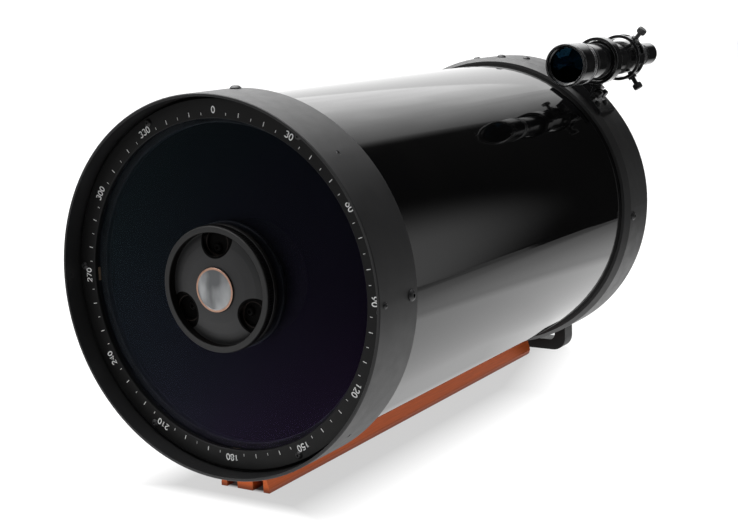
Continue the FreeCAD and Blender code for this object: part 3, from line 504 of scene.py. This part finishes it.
def ribbed_outline(radii, start, pitch, ribs, crest):
    """The (along, radius) outline of ribs that stand side by side; crest is the flat share of the pitch."""
    bore, foot, tip = radii
    gap = 0.01
    outline = [(start, bore)]
    for i in range(ribs):
        begin = start + i * pitch
        outline += [(begin + gap, foot), (begin + pitch * (0.5 - crest / 2), tip),
                    (begin + pitch * (0.5 + crest / 2), tip), (begin + pitch - gap, foot)]
    outline.append((start + ribs * pitch, bore))
    return outline


def secondary_bands():
    """The secondary's grip and the lock ring seen behind the glass."""
    body, slot = "tube_assembly", "black_plastic"
    knurled_band("secondary_grip_knurl", TUBE_AXIS, radii=(46.0, 46.12, 46.42), span=(6.6, 12.0), teeth=150,
                 material=HUB_SATIN, body=body)
    threads = ribbed_outline(radii=(45.95, 46.1, 46.3), start=13.9, pitch=0.68, ribs=3, crest=0.3)
    turned_band("secondary_grip_threads", TUBE_AXIS, threads, HUB_SATIN, body, sides=160)
    knurled_band("lock_ring_knurl", TUBE_AXIS, radii=(46.5, 46.62, 46.9), span=(23.4, 26.5), teeth=120,
                 material=FINISH["black_plastic"], body=body)


def finder_bands():
    """Ribs and knurls on the finder's barrel, lock ring and eyepiece."""
    cell_ribs = ribbed_outline(radii=(18.3, 18.42, 18.56), start=358.2, pitch=1.0, ribs=3, crest=0.45)
    turned_band("objective_cell_ribs", FINDER_AXIS, cell_ribs, BARREL_BLACK, "finder_objective")
    knurl_width = 1.2
    for number, begin in enumerate((379.9, 383.1), start=1):
        knurled_band("finder_lock_knurl_%d" % number, FINDER_AXIS, radii=(18.3, 18.42, 18.7),
                     span=(begin, begin + knurl_width), teeth=72, material=FINISH["machined"],
                     body="finder_lock")
    eyepiece_ribs = ribbed_outline(radii=(10.5, 10.62, 10.9), start=520.8, pitch=1.0, ribs=5, crest=0.45)
    turned_band("eyepiece_ribs", FINDER_AXIS, eyepiece_ribs, BARREL_BLACK, "finder", sides=72)


def rear_bands():
    """The grips of the adapter, visual back and focus knob."""
    knurled_band("adapter_knurl", TUBE_AXIS, radii=(46.4, 46.52, 46.85), span=(516.0, 525.0), teeth=140,
                 material=FINISH["black_anodised"], body="tube_assembly")
    knurled_band("visual_back_knurl", TUBE_AXIS, radii=(29.9, 30.02, 30.3), span=(529.4, 535.6), teeth=96,
                 material=FINISH["black_anodised"], body="tube_assembly")
    knurled_band("focus_grip_ribs", FOCUS_AXIS, radii=(16.7, 16.82, 17.5), span=(526.4, 545.6), teeth=30,
                 material=FINISH["rubber"], body="focus_drive")


def thumbscrew_bands():
    """Knurls round the heads of the finder's and the visual back's thumbscrews."""
    finder_screw_station, visual_back_screw_station = 485.5, 550.0
    for number, degrees in enumerate((0.0, 108.0, -108.0), start=1):
        angle = FINDER_TURN + math.radians(degrees)
        axis = Axis((FINDER_X, station(finder_screw_station), FINDER_Z), (math.sin(angle), 0, math.cos(angle)))
        knurled_band("finder_screw_knurl_%d" % number, axis, radii=(3.95, 4.02, 4.3), span=(29.2, 33.3),
                     teeth=22, material=FINISH["black_screws"], body="finder_screw_%d" % number)
    for number, degrees in enumerate((-60.0, 60.0), start=1):
        angle = math.radians(degrees)
        axis = Axis((0, station(visual_back_screw_station), AXIS_Z), (math.sin(angle), 0, math.cos(angle)))
        knurled_band("visual_back_screw_knurl_%d" % number, axis, radii=(4.95, 5.02, 5.3), span=(26.2, 31.8),
                     teeth=28, material=FINISH["steel_screws"], body="visual_back_screw_%d" % number)


secondary_bands()
finder_bands()
rear_bands()
thumbscrew_bands()


# ---------------------------------------------------------------- the printed scale on the retaining ring

def stroke(points, width):
    """The two sides of a pen stroke through points in a flat plane."""
    last = len(points) - 1
    left, right = [], []
    for i, point in enumerate(points):
        before, after = points[max(i - 1, 0)], points[min(i + 1, last)]
        along = (Vector(after) - Vector(before)).normalized()
        side = Vector((-along.y, along.x)) * width / 2
        left.append(Vector(point) + side)
        right.append(Vector(point) - side)
    return left, right


def arc(middle, radius, start, end, steps=10):
    """Points on an ellipse; radius is (across, up), angles in degrees."""
    spots = []
    for i in range(steps + 1):
        angle = math.radians(start + (end - start) * i / steps)
        spots.append((middle[0] + radius[0] * math.cos(angle), middle[1] + radius[1] * math.sin(angle)))
    return spots


# each digit as pen strokes, in units of its height
DIGITS = {
    "0": [arc((0.3, 0.5), (0.3, 0.5), 0, 360, 20)],
    "1": [[(0.08, 0.78), (0.34, 1.0), (0.34, 0.0)]],
    "2": [arc((0.3, 0.70), (0.28, 0.3), 165, -35, 9) + [(0.0, 0.0), (0.6, 0.0)]],
    "3": [arc((0.28, 0.74), (0.27, 0.26), 150, -90, 9), arc((0.28, 0.26), (0.31, 0.26), 90, -150, 9)],
    "4": [[(0.62, 0.26), (0.0, 0.26), (0.44, 1.0), (0.44, 0.0)]],
    "5": [[(0.56, 1.0), (0.1, 1.0), (0.05, 0.55)] + arc((0.28, 0.31), (0.31, 0.31), 115, -150, 10)],
    "6": [[(0.5, 1.0), (0.12, 0.55)] + arc((0.3, 0.3), (0.3, 0.3), 150, -210, 16)],
    "7": [[(0.0, 1.0), (0.6, 1.0), (0.2, 0.0)]],
    "8": [arc((0.3, 0.74), (0.26, 0.26), -90, 270, 16), arc((0.3, 0.26), (0.30, 0.27), 90, 450, 16)],
    "9": [[(0.1, 0.0), (0.48, 0.45)] + arc((0.3, 0.7), (0.3, 0.3), -30, 330, 16)],
}


def scale_marks():
    """Ticks each 5 degrees and a number each 30, raised by the thickness of the print.  Sizes in mm."""
    face, print_height, sunk = 14.5, 0.05, 0.02
    tick_foot, numeral_foot, numeral_height = 123.4, 124.9, 4.4
    tick_step, long_tick_step, numeral_step = 5, 10, 30
    long_tick, short_tick = (3.2, 0.55), (1.9, 0.4)
    pen, letter_pitch, letter_gap = 0.85, 0.86 * numeral_height, 0.26 * numeral_height
    vertices, faces = [], []

    def lay(left, right):
        """Adds one stroke as a thin closed strip; points are (angle, radius in mm)."""
        first, count = len(vertices), len(left)
        for along in (face - print_height, face + sunk):
            for side in (left, right):
                for angle, radius in side:
                    vertices.append(TUBE_AXIS.spot(along * MM, radius * MM, angle))
        front_left, front_right, back_left, back_right = [first + i * count for i in range(4)]
        for i in range(count - 1):
            for a, b in ((front_left, front_right), (back_right, back_left), (back_left, front_left),
                         (front_right, back_right)):
                faces.append((a + i, b + i, b + i + 1, a + i + 1))
        for i in (0, count - 1):
            faces.append((front_left + i, back_left + i, back_right + i, front_right + i))

    def place(points, centre, foot):
        """Flat (across, up) points in mm onto the ring at an angle."""
        return [(centre + across / (foot + up), foot + up) for across, up in points]

    def draw(points, width, centre, foot):
        left, right = stroke(points, width)
        lay(place(left, centre, foot), place(right, centre, foot))

    for degrees in range(0, 360, tick_step):
        if degrees % numeral_step == 0:
            continue
        length, width = short_tick if degrees % long_tick_step else long_tick
        draw([(0.0, 0.0), (0.0, length)], width, math.radians(degrees), tick_foot)
    for degrees in range(0, 360, numeral_step):
        text = str(degrees)
        start = -(letter_pitch * len(text) - letter_gap) / 2
        for index, letter in enumerate(text):
            for line in DIGITS[letter]:
                points = [(start + letter_pitch * index + x * numeral_height, y * numeral_height)
                          for x, y in line]
                draw(points, pen, math.radians(degrees), numeral_foot)
    add_piece("retaining_ring_scale", vertices, faces, MARKING, "tube_assembly")


scale_marks()


# ---------------------------------------------------------------- studio

def stage_mesh(name, vertices, faces, material):
    """A piece of the studio, which isn't part of the telescope."""
    mesh = bpy.data.meshes.new(name)
    mesh.from_pydata(vertices, [], faces)
    mesh.materials.append(material)
    mesh.update()
    item = bpy.data.objects.new(name, mesh)
    bpy.context.scene.collection.objects.link(item)


def slanted(s, x_share, y_share):
    """A floor coordinate that runs aslant: shares of X and Y added up."""
    return s.math("ADD", s.math("MULTIPLY", s.coordinate("X"), x_share),
                  s.math("MULTIPLY", s.coordinate("Y"), y_share))


def floor_shade(s):
    """1 on the lit part of the floor, less beyond its right side, its near side and its left side."""
    right = slanted(s, 1.0, 0.307)
    near = slanted(s, -0.526, 0.85)
    left = slanted(s, 1.0, 1.049)
    right_side = s.math("MULTIPLY", s.spread(right, 1.0, 0.60, 0.295, 0.335),
                        s.spread(right, 1.0, 0.04, 0.36, 0.63))
    other_sides = s.math("MULTIPLY", s.spread(near, 0.40, 1.0, -0.60, -0.33),
                         s.spread(left, 0.60, 1.0, -0.80, -0.50))
    return s.math("MULTIPLY", right_side, other_sides)


def floor_light(s):
    """The floor's own light, shaped into a painted shadow: weaker under the tube, stronger in front of it and
    away from it.
    """
    behind_start, behind_share = 0.1, 0.25
    y = s.coordinate("Y")
    behind = s.math("MULTIPLY", s.math("MAXIMUM", s.math("SUBTRACT", y, behind_start), 0.0), behind_share)
    aside = s.math("ADD", s.math("ABSOLUTE", s.coordinate("X")), behind)
    ahead = s.spread(y, 0.40, 0.0, -0.262, -0.240)
    beside_tube = s.math("MAXIMUM", s.spread(aside, 0.0, 0.40, 0.052, 0.098), ahead)
    distance = s.node("ShaderNodeVectorMath", operation="LENGTH")
    s.put(distance.inputs[0], s.place)
    return s.math("ADD", beside_tube, s.spread(distance.outputs["Value"], 0.60, 0.66, 0.4, 1.2))


def floor_clear_of_bar(s):
    """Nearly 0 under the dovetail bar, 1 elsewhere: painted contact shade cut into the floor's glow."""
    outside, inside = 1 * MM, 4 * MM
    y = s.coordinate("Y")
    beside = s.spread(s.math("ABSOLUTE", s.coordinate("X")), 0.0, 1.0, 18 * MM, 22.5 * MM)
    before = s.spread(y, 1.0, 0.0, BAR_FRONT - outside, BAR_FRONT + inside)
    behind = s.spread(y, 0.0, 1.0, BAR_BACK - inside, BAR_BACK + outside)
    clear = s.math("MAXIMUM", beside, s.math("MAXIMUM", before, behind))
    return s.spread(clear, 0.03, 1.0, 0.0, 1.0)


def paper_finish():
    """White paper that is lit from above and glows as if lit from below; the glow is painted light, dimmed
    into a painted shadow under the tube.
    """
    s = Shader("white_paper")
    shade = floor_shade(s)
    white = s.mix(s.spread(s.noise(3.0), 0.0, 1.0), grey(0.13), grey(0.15))
    paper = s.surface(s.mix(shade, grey(0.10), white), s.spread(s.noise(200), 0.85, 0.95), specular=0.1)
    # painted shadow: the glow dips under the tube and is nearly cut under the bar
    strength = s.math("MULTIPLY", s.math("MULTIPLY", floor_light(s), shade), floor_clear_of_bar(s))
    glow = s.node("ShaderNodeEmission")
    s.put(glow.inputs["Strength"], strength)
    both = s.node("ShaderNodeAddShader")
    s.tree.links.new(paper, both.inputs[0])
    s.tree.links.new(glow.outputs[0], both.inputs[1])
    return s.done(both.outputs[0])


def softbox_finish(strength):
    """Diffusing cloth, lit from its left, that fades towards its right edge."""
    s = Shader("softbox_cloth")
    fall = s.spread(s.coordinate("X"), 0.60, 0.11, -0.46, 0.19)
    cloth = s.spread(s.noise(6.0), 0.94, 1.06)
    glow = s.node("ShaderNodeEmission")
    s.put(glow.inputs["Color"], grey(1.0))
    s.put(glow.inputs["Strength"], s.math("MULTIPLY", s.math("MULTIPLY", fall, cloth), strength))
    return s.done(glow.outputs[0])


def sheet(name, corners, height, material):
    """A flat stage piece through (x, y) corners, given anticlockwise from above if it faces up."""
    vertices = [(x, y, height) for x, y in corners]
    stage_mesh(name, vertices, [tuple(range(len(corners)))], material)


# corners in metres from the origin
FLOOR_CORNERS = [(-6.0, -2.4), (1.40, -2.4), (0.71, 0.0), (0.403, 0.87), (-1.75, 8.0), (-6.0, 8.0)]
SOFTBOX_LEFT, SOFTBOX_NEAR, SOFTBOX_FAR = -1.6, 0.9, 1.96
SOFTBOX_HEIGHT, SOFTBOX_STRENGTH = 1.056, 3.0
SOFTBOX_RIGHT_EDGE = [(0.245, SOFTBOX_FAR), (0.208, 1.64), (0.177, 1.41), (0.149, 1.22), (0.118, SOFTBOX_NEAR)]
SOFTBOX_LEFT_EDGE = [(SOFTBOX_LEFT, SOFTBOX_NEAR), (SOFTBOX_LEFT, SOFTBOX_FAR)]
sheet("paper_floor", FLOOR_CORNERS, 0.0, paper_finish())
sheet("overhead_softbox", SOFTBOX_LEFT_EDGE + SOFTBOX_RIGHT_EDGE, SOFTBOX_HEIGHT,
      softbox_finish(SOFTBOX_STRENGTH))


def area_light(name, place, target, size, power):
    """A square white lamp that faces its target."""
    light = bpy.data.lights.new(name, "AREA")
    light.shape = "RECTANGLE"
    light.size = light.size_y = size
    light.energy = power
    item = bpy.data.objects.new(name, light)
    item.location = place
    item.rotation_euler = (Vector(target) - Vector(place)).to_track_quat("-Z", "Y").to_euler()
    bpy.context.scene.collection.objects.link(item)


area_light("top_key", place=(-0.5, 0.1, 2.2), target=(0, 0, 0.1), size=2.4, power=100)
area_light("front_fill", place=(-1.2, -2.2, 1.3), target=(0, -0.2, 0.15), size=1.2, power=7.5)


def studio_world():
    """White to the rear left, grey overhead and in two faint patches, dark elsewhere."""
    world = bpy.data.worlds.new("studio")
    world.use_nodes = True
    tree = world.node_tree
    tree.nodes.clear()

    def node(kind, **settings):
        made = tree.nodes.new(kind)
        for key, value in settings.items():
            setattr(made, key, value)
        return made

    def calc(operation, first, second=0.0):
        made = node("ShaderNodeMath", operation=operation)
        for socket, value in zip(made.inputs, (first, second)):
            if isinstance(value, bpy.types.NodeSocket):
                tree.links.new(value, socket)
            else:
                socket.default_value = value
        return made.outputs[0]

    def ramp(value, start, end):
        """0 at the start to 1 at the end, smoothly."""
        made = node("ShaderNodeMapRange", interpolation_type="SMOOTHSTEP")
        tree.links.new(value, made.inputs["Value"])
        made.inputs["From Min"].default_value = start
        made.inputs["From Max"].default_value = end
        return made.outputs["Result"]

    def turned(start, end):
        """A ramp over the direction's angle from +Y towards +X, in degrees."""
        return ramp(azimuth, math.radians(start), math.radians(end))

    parts = node("ShaderNodeSeparateXYZ")
    tree.links.new(node("ShaderNodeTexCoord").outputs["Generated"], parts.inputs[0])
    x, y, z = parts.outputs
    azimuth = calc("ARCTAN2", x, y)
    left_rear = calc("MULTIPLY", turned(6, -4), turned(-110, -70))
    overhead_level, right_rear_level, front_left_level = 0.35, 0.33, 0.16
    overhead = calc("MULTIPLY", ramp(z, 0.50, 0.80), overhead_level)
    right_rear = calc("MULTIPLY", turned(24.5, 32), turned(95, 60))
    right_rear = calc("MULTIPLY", calc("MULTIPLY", right_rear, ramp(z, 0.36, 0.04)), right_rear_level)
    front_left = calc("MULTIPLY", turned(-105, -125), ramp(z, 0.5, 0.1))
    front_left = calc("MULTIPLY", front_left, front_left_level)
    level = left_rear
    for patch in (overhead, right_rear, front_left):
        level = calc("MAXIMUM", level, patch)
    strength, least = 1.35, 0.012
    level = calc("ADD", calc("MULTIPLY", level, strength), least)
    back = node("ShaderNodeBackground")
    back.inputs["Color"].default_value = (1, 1, 1, 1)
    tree.links.new(level, back.inputs["Strength"])
    tree.links.new(back.outputs[0], node("ShaderNodeOutputWorld").inputs["Surface"])
    bpy.context.scene.world = world


studio_world()


def set_camera():
    """A camera at the front right, a little above the tube and turned slightly about its view."""
    place = (0.609878, -1.026352, 0.356248)
    yaw, pitch, roll = math.radians(31.7317), math.radians(10.6800), math.radians(-2.0655)
    forward = Vector((-math.sin(yaw) * math.cos(pitch), math.cos(yaw) * math.cos(pitch), -math.sin(pitch)))
    level_right = Vector((math.cos(yaw), math.sin(yaw), 0))
    level_up = level_right.cross(forward)
    right = level_right * math.cos(roll) + level_up * math.sin(roll)
    up = level_up * math.cos(roll) - level_right * math.sin(roll)
    lens = bpy.data.cameras.new("camera")
    lens.sensor_width = 36.0
    lens.lens = 68.82
    camera = bpy.data.objects.new("camera", lens)
    turn = Matrix((right, up, -forward)).transposed().to_4x4()
    camera.matrix_world = Matrix.Translation(place) @ turn
    bpy.context.scene.collection.objects.link(camera)
    bpy.context.scene.camera = camera


set_camera()
bpy.context.scene.view_settings.view_transform = "Standard"
